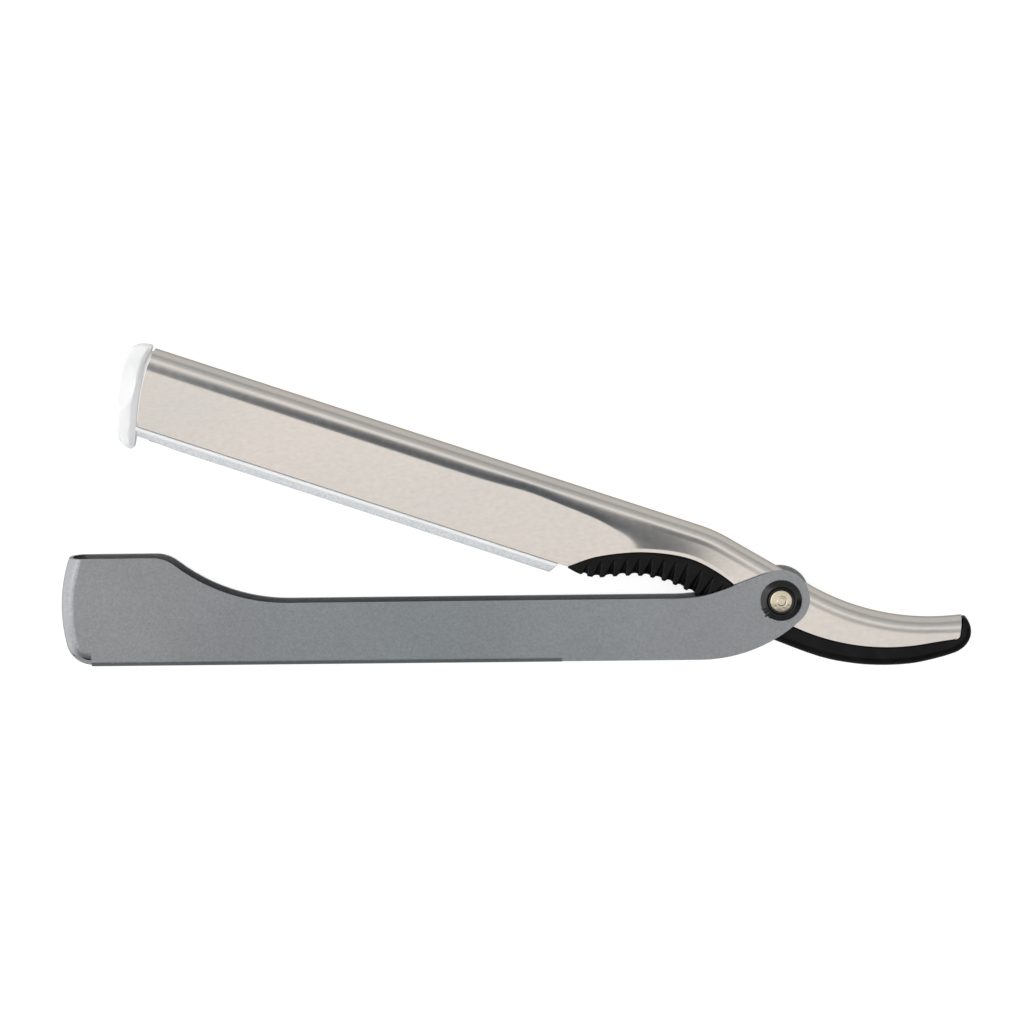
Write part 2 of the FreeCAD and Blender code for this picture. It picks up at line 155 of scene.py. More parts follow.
def blasted_steel():
    mat = node_material("handle_steel", (0.32, 0.34, 0.36), 0.4, 1.0)
    # painted shading: along the handle the colour is darker and bluer midway and lightest at the pivot,
    # standing in for how the light falls along the plate
    ramp(mat, handle_run(mat), [(0.0, (0.333, 0.341, 0.358)), (0.5, (0.305, 0.337, 0.363)),
                                (1.0, (0.385, 0.402, 0.426))], shader_of(mat), "Base Color")
    fine_grain(mat, noise(mat, 0.06, 2.0), 0.95, 1.05)
    grain = noise(mat, 2.6, 3.0)
    fine_grain(mat, grain, 0.9, 1.08)
    bump(mat, grain, 0.02)
    spread(mat, noise(mat, 2.0, 2.0), 0.36, 0.44, "Roughness")
    return mat


def bright_steel():
    mat = node_material("holder_steel", (0.73, 0.71, 0.69), 0.16, 1.0)
    shader_of(mat).inputs["Specular Tint"].default_value = (0.5, 0.47, 0.44, 1)
    mottle(mat, noise(mat, 0.05, 2.0), (0.715, 0.703, 0.692), (0.762, 0.734, 0.702))
    grain = noise(mat, 2.5, 3.0, (0.4, 1, 1), math.radians(-OPEN_ANGLE))
    fine_grain(mat, grain, 0.97, 1.02)
    bump(mat, grain, 0.0018)
    spread(mat, noise(mat, 0.9, 2.0), 0.13, 0.18, "Roughness")
    return mat


def black_plastic(name, rough, level=0.5):
    mat = node_material(name, (0.006, 0.006, 0.0065), rough, 0.0, Specular_IOR_Level=level)
    mottle(mat, noise(mat, 0.4, 2.0), (0.003, 0.003, 0.0034), (0.006, 0.006, 0.0065))
    bump(mat, noise(mat, 2.0, 3.0), 0.003)
    spread(mat, noise(mat, 0.7, 2.0), rough * 0.8, rough * 1.2, "Roughness")
    return mat


def arm_mask(mat, across, down):
    """1 past the second x of across and the second y of down, both in the arm's frame in mm."""
    turn = math.radians(OPEN_ANGLE)
    x, y = PIVOT.x / MM, PIVOT.y / MM
    place = add_node(mat, "ShaderNodeTexCoord")
    mapping = add_node(mat, "ShaderNodeMapping")
    mapping.inputs["Scale"].default_value = (1 / MM, 1 / MM, 1 / MM)
    mapping.inputs["Rotation"].default_value = (0, 0, turn)
    mapping.inputs["Location"].default_value = (y * math.sin(turn) - x * math.cos(turn),
                                                -x * math.sin(turn) - y * math.cos(turn), 0)
    link(mat, place, "Object", mapping, "Vector")
    split = add_node(mat, "ShaderNodeSeparateXYZ")
    link(mat, mapping, "Vector", split, "Vector")
    product = add_node(mat, "ShaderNodeMath", operation="MULTIPLY")
    for axis, (low, high), socket in (("X", across, 0), ("Y", down, 1)):
        span = add_node(mat, "ShaderNodeMapRange")
        span.inputs["From Min"].default_value = low
        span.inputs["From Max"].default_value = high
        link(mat, split, axis, span, "Value")
        mat.node_tree.links.new(span.outputs["Result"], product.inputs[socket])
    return product


def white_plastic():
    """White, with a darker, bluish, speckled lip along the open edge: partly the lip's frosted plastic,
    partly painted shade where the lip slopes away.
    """
    mat = node_material("inlay_plastic", (0.78, 0.79, 0.8), 0.3, 0.0, Specular_IOR_Level=0.3,
                        Subsurface_Weight=0.2, Subsurface_Scale=0.0012)
    shader_of(mat).inputs["Subsurface Radius"].default_value = (1.0, 0.95, 0.9)
    mix = add_node(mat, "ShaderNodeMix", data_type="RGBA")
    # the lip's mask: below the metal and past the tab the colour turns darker and bluish, partly frosted
    # plastic, partly painted shade on the slope
    lip = arm_mask(mat, (-112.6, -111.9), (-6.8, -7.15))
    mat.node_tree.links.new(lip.outputs[0], mix.inputs[MIX_SHARE])
    mat.node_tree.links.new(mix.outputs[MIX_RESULT], shader_of(mat).inputs["Base Color"])
    mottle(mat, noise(mat, 0.25, 2.0), (0.69, 0.705, 0.715), (0.73, 0.735, 0.74), mix, MIX_A)
    mottle(mat, noise(mat, 3.2, 2.0), (0.46, 0.49, 0.515), (0.66, 0.68, 0.7), mix, MIX_B)
    bump(mat, noise(mat, 1.5, 2.0), 0.004)
    return mat


def pale_metal():
    mat = node_material("rivet_brass", (0.75, 0.69, 0.6), 0.22, 1.0)
    mottle(mat, noise(mat, 0.5, 2.0), (0.72, 0.655, 0.51), (0.80, 0.735, 0.59))
    bump(mat, noise(mat, 1.8, 3.0), 0.006)
    return mat


def ground_steel():
    mat = node_material("blade_steel", (0.6, 0.61, 0.62), 0.2, 1.0)
    mottle(mat, noise(mat, 3.0, 2.0, (1, 0.05, 1)), (0.55, 0.56, 0.57), (0.66, 0.67, 0.68))
    bump(mat, noise(mat, 4.0, 2.0, (1, 0.05, 1)), 0.002)
    return mat


handle_steel = blasted_steel()
holder_steel = bright_steel()
collar_black = black_plastic("collar_plastic", 0.12)
washer_black = black_plastic("washer_plastic", 0.5)
insert_black = black_plastic("insert_plastic", 0.2, 0.12)
inlay_white = white_plastic()
rivet_metal = pale_metal()
blade_steel = ground_steel()
LOOKS = {
    "handle_shell": handle_steel, "blade_holder": holder_steel, "tang_insert": insert_black,
    "blade_inlay": inlay_white, "razor_blade": blade_steel, "pivot_rivet": rivet_metal,
    "outer_collar_front": collar_black, "outer_collar_back": collar_black,
    "inner_washer_front": washer_black, "inner_washer_back": washer_black,
}
for name, obj in frame["nodes"].items():
    obj.data.materials.clear()
    obj.data.materials.append(LOOKS[name])


# ---- the arm's own plane: the pivot at (0, 0), the spine's straight part along -X, in mm ----
SPINE_TOP = 7.5
HOLDER_EDGE = -6.0
TOE_X = -113.0
TAIL_END = (29.9, 7.6)        # the metal's upper corner
SHEET = 0.5
HALF = 2.05                   # half of the holder's thickness
PRESSED = 1.78                # the same, where the sides are pressed flat
BEND_RADIUS = 26.0
BEND = (-17.0, SPINE_TOP - BEND_RADIUS)
SLOPE = math.radians(12)
BEND_END = (BEND[0] + BEND_RADIUS * math.sin(SLOPE), BEND[1] + BEND_RADIUS * math.cos(SLOPE))
TAIL_FROM = 4.0
TAIL_RADIUS = 40.0
TAIL = (TAIL_FROM + TAIL_RADIUS * math.sin(SLOPE),
        BEND_END[1] - math.tan(SLOPE) * (TAIL_FROM - BEND_END[0]) + TAIL_RADIUS * math.cos(SLOPE))
EDGE_CENTRE = (8.05, 32.7)    # of the tail's lower metal edge
EDGE_RADIUS = 36.75
EDGE_ANGLE = 35.6             # where the edge ends, degrees from straight down
EDGE_FLATTER = 29.0           # from this angle on the edge runs flatter
EDGE_SHIFT = 0.75             # and it ends this much further out
ARCH = [(-36.1, -6.0), (-31.7, -2.75), (-24.9, 0.25), (-17.5, 1.75), (-11.5, 1.0), (-5.0, -1.3)]
LOWER_EDGE = [(-36.2, -6.2), (-33.8, -6.6), (-31.4, -6.42), (-29.6, -5.82), (-26.5, -4.55), (-23.2, -3.55),
              (-19.5, -3.27), (-15.7, -3.6), (-12.5, -4.3), (-5.0, -6.4), (1.7, -7.2), (9.5, -7.5),
              (15.2, -6.8), (20.1, -5.5), (24.8, -3.6), (28.8, -1.2), (31.0, 0.4)]
TIP = [(31.0, 0.4), (31.7, 1.15), (32.35, 2.3), (32.55, 3.8), (32.25, 5.0), (31.6, 6.0), (30.7, 6.7)]
PIN_HOLE = 1.58               # radius of the rivet's hole
FAN_FROM = 12.0               # from here the station lines turn with the tail's end

ARM = Matrix.Translation(PIVOT) @ Matrix.Rotation(-math.radians(OPEN_ANGLE), 4, "Z") @ Matrix.Scale(MM, 4)
HANDLE = Matrix.Translation(PIVOT) @ Matrix.Scale(MM, 4)


def smooth(t):
    t = min(1.0, max(0.0, t))
    return t * t * (3 - 2 * t)


def spline(points, steps=24):
    """A smooth line through the points, as a dense polyline."""
    pts = [np.array(p, float) for p in points]
    pts = [2 * pts[0] - pts[1]] + pts + [2 * pts[-1] - pts[-2]]
    line = []
    for a, b, c, d in zip(pts, pts[1:], pts[2:], pts[3:]):
        for k in range(steps):
            t = k / steps
            line.append(0.5 * (2 * b + (c - a) * t + (2 * a - 5 * b + 4 * c - d) * t ** 2
                               + (3 * b - a - 3 * c + d) * t ** 3))
    return line + [pts[-2]]


def tail_edge(angle, drop=0.0):
    a = math.radians(angle)
    radius = EDGE_RADIUS + drop
    shift = EDGE_SHIFT * max(0.0, (angle - EDGE_FLATTER) / (EDGE_ANGLE - EDGE_FLATTER)) ** 2
    return np.array((EDGE_CENTRE[0] + radius * math.sin(a) + shift, EDGE_CENTRE[1] - radius * math.cos(a)))


def top_at(x):
    """The spine's top line at x, and the direction from there square into the side."""
    if x <= BEND[0]:
        y, slope = SPINE_TOP, 0.0
    elif x <= BEND_END[0]:
        slope = -math.asin((x - BEND[0]) / BEND_RADIUS)
        y = BEND[1] + BEND_RADIUS * math.cos(slope)
    elif x <= TAIL_FROM:
        y, slope = BEND_END[1] - math.tan(SLOPE) * (x - BEND_END[0]), -SLOPE
    else:
        slope = math.asin((x - TAIL[0]) / TAIL_RADIUS)
        y = TAIL[1] - TAIL_RADIUS * math.cos(slope)
    return np.array((x, y)), np.array((math.sin(slope), -math.cos(slope)))


def crossing(start, way, line):
    """How far along the way from start the first crossing with the polyline is, beyond 2 mm."""
    side = np.array((-way[1], way[0]))
    best = None
    for p, q in zip(line, line[1:]):
        a, b = np.dot(p - start, side), np.dot(q - start, side)
        if a * b <= 0 and a != b:
            hit = p + (q - p) * (a / (a - b))
            far = float(np.dot(hit - start, way))
            if far > 2 and (best is None or far < best):
                best = far
    return best


def along(line, count):
    """count points evenly spaced along a polyline, its ends included."""
    steps = [0.0]
    for p, q in zip(line, line[1:]):
        steps.append(steps[-1] + float(np.linalg.norm(q - p)))
    where = np.linspace(0, steps[-1], count)
    xs = np.interp(where, steps, [p[0] for p in line])
    ys = np.interp(where, steps, [p[1] for p in line])
    return [np.array(p) for p in zip(xs, ys)]


def metal_edge(drop=0.0):
    """The holder's lower edge from the heel to the tail's lower corner."""
    arch = [np.array((x, y - drop)) for x, y in ARCH]
    first = [tail_edge(-9 + 2 * k, drop) for k in range(3)]
    rest = [tail_edge(a, drop) for a in np.linspace(-4, EDGE_ANGLE, 80)]
    return spline(arch + first)[:-1] + rest


def grid_mesh(name, columns, matrix, close=False):
    """Columns of points, all of one length, joined into quads. close joins each column's ends."""
    rows = len(columns[0])
    verts = [matrix @ Vector(p) for column in columns for p in column]
    faces = []
    for i in range(len(columns) - 1):
        for j in range(rows if close else rows - 1):
            k = (j + 1) % rows
            faces.append((i * rows + j, i * rows + k, (i + 1) * rows + k, (i + 1) * rows + j))
    mesh = bpy.data.meshes.new(name)
    mesh.from_pydata(verts, [], faces)
    mesh.validate()
    obj = bpy.data.objects.new(name, mesh)
    bpy.context.scene.collection.objects.link(obj)
    return obj


def settle(obj, material, body, nodes):
    """Smooth shading, the material, and the piece's place in the part."""
    obj.data.materials.append(material)
    obj.data.shade_smooth()
    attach(obj, body)
    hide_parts(*nodes)


def use(obj, kind, **settings):
    mod = obj.modifiers.new(kind.lower(), kind)
    for key, value in settings.items():
        setattr(mod, key, value)
    return mod


def apply_modifiers(obj):
    with bpy.context.temp_override(object=obj, active_object=obj, selected_objects=[obj]):
        for mod in list(obj.modifiers):
            bpy.ops.object.modifier_apply(modifier=mod.name)


def cut_pin_hole(obj):
    """A hole for the rivet, square through the part."""
    count = 64
    angles = [2 * math.pi * k / count for k in range(count)]
    ring = [(PIN_HOLE * math.cos(a), PIN_HOLE * math.sin(a)) for a in angles]
    tool = grid_mesh(obj.name + "_cutter", [[(x, y, -5) for x, y in ring], [(x, y, 5) for x, y in ring]],
                     HANDLE, close=True)
    caps = bmesh.new()
    caps.from_mesh(tool.data)
    bmesh.ops.holes_fill(caps, edges=caps.edges[:], sides=0)
    bmesh.ops.recalc_face_normals(caps, faces=caps.faces[:])
    caps.to_mesh(tool.data)
    caps.free()
    use(obj, "BOOLEAN", operation="DIFFERENCE", object=tool, solver="EXACT")
    apply_modifiers(obj)
    bpy.data.objects.remove(tool)


def close_up(obj):
    """Welds the mesh, fills what is open and turns its faces outwards."""
    shape = bmesh.new()
    shape.from_mesh(obj.data)
    bmesh.ops.remove_doubles(shape, verts=shape.verts[:], dist=2e-6)
    bmesh.ops.holes_fill(shape, edges=[e for e in shape.edges if e.is_boundary], sides=0)
    bmesh.ops.recalc_face_normals(shape, faces=shape.faces[:])
    shape.to_mesh(obj.data)
    shape.free()
    return obj


# ---- blade holder ----
CROWN = 1.7                   # the rolled spine reaches this far down the side
PANEL = (-38.0, -1.0)         # the pressed panel's end is a rounded quarter round this point
PANEL_END = (11.2, 4.57)
PANEL_SWELL = (-45.0, 7.0, 0.5)    # the panel is taller round this x, over this width, by this much
FULL_END = (20.5, 6.85)        # outside this larger one the side has its full thickness
PANEL_POWER = 2.2
SHANK_FROM = -34.0            # past here the side stays straight down to its lower edge
PLAIN_FROM = -13.0            # past here the side isn't pressed
TOE_CORNER = 0.7              # radius of the toe's lower corner
TOE_ARC_Y = (-6, -4, -2, 0, 2, 4, 6, 7.6)
TOE_ARC_OUT = (0, -0.48, -0.85, -1.14, -1.3, -1.32, -1.2, -1.0)
END_CORNER_AT = (0, 0.3, 0.6, 0.8, 0.885, 0.917, 0.937, 0.958, 0.979, 0.99, 1)
END_CORNER_OUT = (0, 0.27, 0.5, 0.57, 0.55, 0.51, 0.435, 0.33, 0.18, 0.095, 0)


def stage_at(x, y, width, height):
    """1 on the rounded quarter of this width and height round the panel's end, and less inside."""
    dx = max(0.0, x - PANEL[0]) / width
    dy = max(0.0, y - PANEL[1]) / height
    return (dx ** PANEL_POWER + dy ** PANEL_POWER) ** (1 / PANEL_POWER)


def side_half(x, y, depth, length):
    """Half of the holder's thickness at a point of its side."""
    if depth < CROWN:
        t = 1 - max(0.0, depth) / CROWN
        return HALF * math.sqrt(max(0.0, 1 - t * t))
    if x > SHANK_FROM:
        depth = min(depth, max(CROWN, length - 0.6))
    below = depth - CROWN
    lean = 0.14 * smooth((x + 46) / 12) * (1 - smooth((x + 26) / 24))
    dip = 0.038 * smooth((x + 30) / 14) * smooth((below - 0.1) / 1.1)
    full = HALF - lean * below ** 2 / (below + 1.2) - dip
    if x > PLAIN_FROM:
        return full
    near_toe = 0.07 * (1 - smooth((x + 112) / 40))
    near_heel = 0.08 * smooth((x + 44) / 14)
    to_edge = 0.012 * max(0.0, depth - 4)
    flat = PRESSED + near_toe - near_heel - to_edge
    centre, width, more = PANEL_SWELL
    height = PANEL_END[1] + more * math.exp(-((x - centre) / width) ** 2)
    inner, outer = stage_at(x, y, PANEL_END[0], height), stage_at(x, y, *FULL_END)
    if inner <= 1:
        return flat
    if outer >= 1:
        return full
    u = (inner - 1) / ((inner - 1) + (1 - outer))
    sharp = smooth((x + 48) / 14)
    return flat + (full - flat) * ((1 - sharp) * smooth(u) + sharp * (1 - (1 - u) ** 3.4))


def toe_arc(y):
    """How far the toe's bowed edge stands out at height y."""
    return float(np.interp(y, TOE_ARC_Y, TOE_ARC_OUT))


def end_bulge(f, corner=1.0):
    """How far the tail's end stands beyond the straight line between its corners."""
    plain = float(np.interp(f, [0, 0.3, 0.6, 1], [0, 0.27, 0.5, 0]))
    rounded_end = float(np.interp(f, END_CORNER_AT, END_CORNER_OUT))
    return plain + (rounded_end - plain) * corner


def station_xs():
    toe = [TOE_X + t for t in (0, 0.06, 0.14, 0.25, 0.4, 0.6, 0.9, 1.3, 1.8, 2.4, 3.2)]
    plain = list(np.arange(TOE_X + 4.2, -50, 1.25))
    near = list(np.arange(-49.8, -41, 0.5)) + list(np.arange(-41, -15, 0.22))
    return toe + plain + near + list(np.arange(-15, FAN_FROM, 0.5))


def holder_lines():
    """The top point and lower point of each station of the holder."""
    lower = [np.array((TOE_X - 2, HOLDER_EDGE))] + metal_edge()
    lines = []
    for x in station_xs():
        top, way = top_at(x)
        far = crossing(top, way, lower)
        corner = TOE_CORNER - min(TOE_CORNER, x - TOE_X)
        far -= TOE_CORNER - math.sqrt(TOE_CORNER ** 2 - corner ** 2)
        lines.append((top, top + way * far))
    last = lines[-1][1]
    from_angle = 90 + math.degrees(math.atan2(last[1] - EDGE_CENTRE[1], last[0] - EDGE_CENTRE[0]))
    count = 48
    for t in [k / count for k in range(1, count)] + [0.988, 0.996, 1.0]:
        top, _ = top_at(FAN_FROM - 0.5 + (TAIL_END[0] - FAN_FROM + 0.5) * t)
        lines.append((top, tail_edge(from_angle + (EDGE_ANGLE - from_angle) * t)))
    return lines


def holder_side():
    """Every station's points from the spine's top down the front."""
    lines = holder_lines()
    columns = []
    for top, low in lines:
        length = float(np.linalg.norm(low - top))
        way = (low - top) / length
        depths = [CROWN * (1 - math.sin(math.radians(90 - 90 * k / 14))) for k in range(15)]
        plain = length - 0.3 - CROWN
        depths += [CROWN + plain * (k / 48) ** 1.25 for k in range(1, 49)]
        depths += [length - 0.2, length - 0.12, length - 0.05, length]
        to_toe = 1 - smooth((top[0] - TOE_X) / 3.2)
        to_end = smooth((top[0] - TAIL_END[0] + 4) / 4)
        corner = max(0.0, 1 + (top[0] - TAIL_END[0]) / 1.8) ** 2
        column = []
        for depth in depths:
            p = top + way * depth
            half = side_half(p[0], p[1], depth, length)
            x = p[0] + to_toe * toe_arc(p[1]) + to_end * end_bulge(depth / length, corner)
            column.append((x, p[1], half))
        columns.append(column)
    return columns


def make_holder():
    columns = []
    for column in holder_side():
        back = [(x, y, -z) for x, y, z in reversed(column)]
        columns.append(back[:-1] + column)
    obj = grid_mesh("holder", columns, ARM)
    use(obj, "SOLIDIFY", thickness=SHEET * MM, offset=-1.0, use_even_offset=False, use_quality_normals=True)
    use(obj, "BEVEL", width=0.09 * MM, segments=2, limit_method="ANGLE", angle_limit=math.radians(50))
    cut_pin_hole(obj)
    apply_modifiers(obj)
    settle(obj, holder_steel, "arm", ["blade_holder"])


# ---- moulded insert ----
INSERT_HALF = 1.95
CORE_HALF = 1.2
FLUTE_DEPTH = 0.9
FLUTE_HALF = 0.74             # half of a flute's width where it opens
FLUTE_PITCH = 2.005
FLUTE_FIRST = -32.95
FLUTE_COUNT = 13
END_THIN = (0.5, 0.74, 0.87, 0.95, 0.985)      # the last stations' share of the width, from the end


def insert_lines():
    """The inner point, by the metal's edge, and the outer point of each station of the insert."""
    inner_line = metal_edge(0.06)
    outer_line = spline(LOWER_EDGE)
    lines = []
    for x in np.concatenate([np.arange(-36.0, -8.5, 0.1), np.arange(-8.5, FAN_FROM, 0.6)]):
        top, way = top_at(float(x))
        a, b = crossing(top, way, inner_line), crossing(top, way, outer_line)
        if a is None or b is None or b - a < 0.05:
            continue
        lines.append((top + way * a, top + way * b))
    inner, outer = lines[-1]
    corner, top = tail_edge(EDGE_ANGLE), np.array(TAIL_END)
    inner_rest = [inner] + [p for p in inner_line if p[0] > inner[0] + 0.1]
    for f in END_CORNER_AT[-2:1:-1] + (0.45, 0.3, 0.2):
        inner_rest.append(top + (corner - top) * f + np.array((end_bulge(f) + 0.06, 0.0)))
    outer_rest = [outer] + [p for p in outer_line if p[0] > outer[0] + 0.1]
    outer_rest += spline(TIP)[1:]
    count = 72
    pairs = zip(along(inner_rest, count), along(outer_rest, count))
    return lines + list(pairs)[1:]


def flute_depth(x, across, full, reach):
    """How deep the flutes are at x along the lower edge, across from the underside's middle."""
    number = round((x - FLUTE_FIRST) / FLUTE_PITCH)
    if across >= reach or not 0 <= number < FLUTE_COUNT:
        return 0.0
    aside = abs(x - FLUTE_FIRST - number * FLUTE_PITCH)
    deep = FLUTE_DEPTH * (1 - max(0.0, across - full) / (reach - full))
    deep *= 0.7 + 0.3 * min(1.0, number / 2)
    return max(0.0, deep - max(0.0, aside - 0.12) * FLUTE_DEPTH / (FLUTE_HALF - 0.12))


def insert_front():
    columns = []
    for inner, outer in insert_lines():
        x = outer[0]
        tall = float(np.linalg.norm(outer - inner))
        way = (outer - inner) / tall
        turn = min(0.4 + 0.95 * smooth((x + 8) / 12), 0.6 * tall)
        inset = min(1.0, 0.35 * tall)
        start = min(0.25, 0.2 * tall)
        corner = turn * math.pi / 2
        flat = INSERT_HALF - turn
        full = flat + 0.6 * corner
        reach = flat + corner + max(0.1, tall - turn - inset)
        root = -0.7 if x < 30 else -0.2        # the core goes this far in behind the metal's edge
        seam = [(root, CORE_HALF), (0.02, CORE_HALF), (0.03, INSERT_HALF - 0.3),
                (0.09, INSERT_HALF - 0.09), (0.25, INSERT_HALF)]
        column = []
        for e, z in seam:
            p = inner + way * min(e, start)
            column.append((p[0], p[1], z))
        for e in [start + (tall - turn - start) * k / 22 for k in range(1, 23)]:
            cut = flute_depth(x, flat + corner + (tall - turn - e), full, reach)
            p = inner + way * e
            column.append((p[0], p[1], INSERT_HALF - cut))
        for k in range(1, 9):
            a = math.radians(90 * k / 8)
            cut = flute_depth(x, flat + corner * (1 - k / 8), full, reach)
            p = inner + way * (tall - turn + (turn - cut) * math.sin(a))
            column.append((p[0], p[1], INSERT_HALF - turn + (turn - cut) * math.cos(a)))
        for k in range(1, 8):
            z = flat * (1 - k / 7)
            p = inner + way * (tall - flute_depth(x, z, full, reach))
            column.append((p[0], p[1], z))
        columns.append(column)
    return columns


def make_insert():
    columns = []
    fronts = insert_front()
    for number, column in enumerate(fronts):
        left = len(fronts) - 1 - number
        thin = END_THIN[left] if left < len(END_THIN) else 1.0
        front = [(x, y, z * thin) for x, y, z in column]
        back = [(x, y, -z) for x, y, z in reversed(front)]
        columns.append(front + back[1:])
    obj = grid_mesh("insert", columns, ARM, close=True)
    close_up(obj)
    cut_pin_hole(obj)
    settle(obj, insert_black, "arm", ["tang_insert"])


# ---- blade carrier ----
TAB = [(-114.9, 7.83), (-116.3, 7.6), (-117.55, 6.9), (-118.35, 5.7), (-118.6, 4.4), (-118.35, 2.7),
       (-117.9, -0.1), (-117.5, -3.0), (-117.0, -5.9), (-116.35, -7.8), (-115.3, -9.25), (-113.95, -9.98),
       (-112.95, -10.1), (-112.6, -9.75), (-112.62, -9.1), (-112.85, -7.8), (-113.15, -5.9), (-113.8, -3.4),
       (-114.25, -1.0), (-114.6, 1.8), (-114.85, 4.7), (-114.62, 7.0), (-114.6, 7.6)]
TAB_SPINE = ((-116.4, 5.4), (-114.9, -7.8))    # the rings close in on this line
TAB_HALF = 2.0
CARRIER = [(3.2, 0.0), (3.2, 0.9), (3.1, 1.0), (-6.05, 1.0), (-6.1, 1.03), (-6.14, 1.2), (-6.22, 1.3),
           (-6.4, 1.33), (-6.68, 1.3), (-6.8, 1.2), (-6.95, 1.02), (-7.1, 0.95), (-7.5, 0.8), (-7.85, 0.62),
           (-8.05, 0.48), (-8.12, 0.34), (-8.1, 0.2), (-8.0, 0.16), (1.5, 0.16), (1.55, 0.0)]
CARRIER_HEEL = -37.8


def tab_half(x, y, inside):
    """Half of the tab's thickness: round edges, and a thumb hollow towards its free side."""
    turn = 0.95 - 0.45 * smooth((x + 116.3) / 1.8)
    e = min(turn, inside)
    z = TAB_HALF - turn + math.sqrt(max(0.0, turn ** 2 - (turn - e) ** 2))
    right = smooth((x + 115.9) / 1.2)
    z = z * (1 - right) + min(z, 1.2 + 0.7 * inside) * right
    hollow = ((x + 118.7) / 3.6) ** 2 + ((y + 0.4) / 4.7) ** 2
    if hollow < 1:
        z = min(z, TAB_HALF - 0.7 * (1 - hollow) ** 0.8)
    return z


def make_tab():
    outline = along([np.array(p) for p in spline(TAB + TAB[:1], 10)], 150)[:-1]
    a, b = (np.array(p) for p in TAB_SPINE)
    shares = [0, 0.02, 0.05, 0.09, 0.14, 0.2, 0.28, 0.36, 0.46, 0.58, 0.7, 0.82, 0.92, 0.98]
    columns = []
    for p in outline:
        t = min(1.0, max(0.0, float(np.dot(p - a, b - a) / np.dot(b - a, b - a))))
        middle = a + (b - a) * t
        wide = float(np.linalg.norm(p - middle))
        front = []
        for share in shares:
            q = p + (middle - p) * share
            front.append((q[0], q[1], tab_half(q[0], q[1], wide * share)))
        front.append((middle[0], middle[1], tab_half(middle[0], middle[1], wide)))
        columns.append([(x, y, -z) for x, y, z in reversed(front)] + front)
    columns.append(columns[0])
    return close_up(grid_mesh("carrier", columns, ARM))


def make_strip():
    """The carrier's body in the holder and the lip below it, with a slot for the blade."""
    columns = []
    heel = [CARRIER_HEEL - t for t in (1, 0.8, 0.6, 0.4, 0.2, 0)]
    for x in list(np.linspace(-114.6, CARRIER_HEEL - 1.2, 60)) + heel:
        half = []
        for y, z in CARRIER:
            near = max(0.0, (x - CARRIER_HEEL + 1.0))
            below = max(0.0, -6.5 - y)
            lift = near * 0.75 * below / 1.6 if near else 0.0
            low_toe = 0.35 * smooth((x + 104) / -9) * smooth((-6.9 - y) / 1.2)
            half.append((x - 0.45 * below * near, y + lift * 0.5 + low_toe, z))
        back = [(x0, y0, -z0) for x0, y0, z0 in reversed(half)]
        columns.append(half + back[1:-1])
    return close_up(grid_mesh("strip", columns, ARM, close=True))


def make_neck():
    """The thin web that fills the gap between the tab and the toe."""
    columns = []
    for y in np.linspace(-6.6, 6.9, 40):
        left, right = -114.9 + 0.02 * y, TOE_X + toe_arc(y) + 0.8
        half = 1.1 * math.sqrt(max(0.05, 1 - abs(y - 0.15) ** 8 / 6.8 ** 8))
        columns.append([(left, y, -half), (right, y, -half), (right, y, half), (left, y, half)])
    return close_up(grid_mesh("neck", columns, ARM, close=True))


def make_carrier():
    tab, strip, neck = make_tab(), make_strip(), make_neck()
    for other in (neck, strip):
        use(tab, "BOOLEAN", operation="UNION", object=other, solver="EXACT")
    apply_modifiers(tab)
    for other in (neck, strip):
        bpy.data.objects.remove(other)
    settle(tab, inlay_white, "arm", ["blade_inlay"])
    tab.data.set_sharp_from_angle(angle=math.radians(32))


# ---- collars and rivet ----
OUTER_HALF = 2.9              # half of the handle's width outside, and inside
INNER_HALF = 2.3
BURRS = [(225, 2.6, 0.42), (203, 2.2, 0.15), (236, 3, 0.14), (214, 9, 0.07)]   # angle, spread, height
PITS = [(1.22, -0.78, 0.03, 0.02), (0.3, -1.2, 0.02, 0.03), (-0.9, -0.9, 0.02, 0.05)]   # x, y, depth, size


def turned(name, profile, matrix, mirror=False, change=None, count=240):
    """A profile of (radius, height) points turned round the rivet's axis."""
    columns = []
    for k in range(count + 1):
        a = 2 * math.pi * k / count
        column = []
        for r, z in profile:
            if change:
                r, z = change(a, r, z)
            column.append((r * math.cos(a), r * math.sin(a), -z if mirror else z))
        columns.append(column)
    obj = grid_mesh(name, columns, matrix)
    shape = bmesh.new()
    shape.from_mesh(obj.data)
    bmesh.ops.remove_doubles(shape, verts=shape.verts[:], dist=1e-7)
    bmesh.ops.recalc_face_normals(shape, faces=shape.faces[:])
    shape.to_mesh(obj.data)
    shape.free()
    return obj


def rounded(points, radius=0.06, steps=3):
    """The profile with each inner corner rounded off."""
    pts = [np.array(p, float) for p in points]
    out = [pts[0]]
    for a, b, c in zip(pts, pts[1:], pts[2:]):
        before, after = a - b, c - b
        near = min(radius, np.linalg.norm(before) * 0.45, np.linalg.norm(after) * 0.45)
        p = b + before / np.linalg.norm(before) * near
        q = b + after / np.linalg.norm(after) * near
        for k in range(steps + 1):
            t = k / steps
            out.append((1 - t) ** 2 * p + 2 * t * (1 - t) * b + t * t * q)
    return [tuple(p) for p in out + [pts[-1]]]


def bell(a, centre, width):
    """1 at an angle round the rivet, falling off to both sides. centre and width are in degrees."""
    d = (a - math.radians(centre) + math.pi) % (2 * math.pi) - math.pi
    return math.exp(-(d / math.radians(width)) ** 2)


def collar_marks(a, r, z):
    """A scribed line across the bevel, and burrs left by moulding on the rim."""
    if 2.5 < r < 3.42 and z > OUTER_HALF + 0.2:
        z -= 0.13 * bell(a, 38, 1.5)
    if r > 3.3:
        r += sum(height * bell(a, centre, width) for centre, width, height in BURRS)
    return r, z


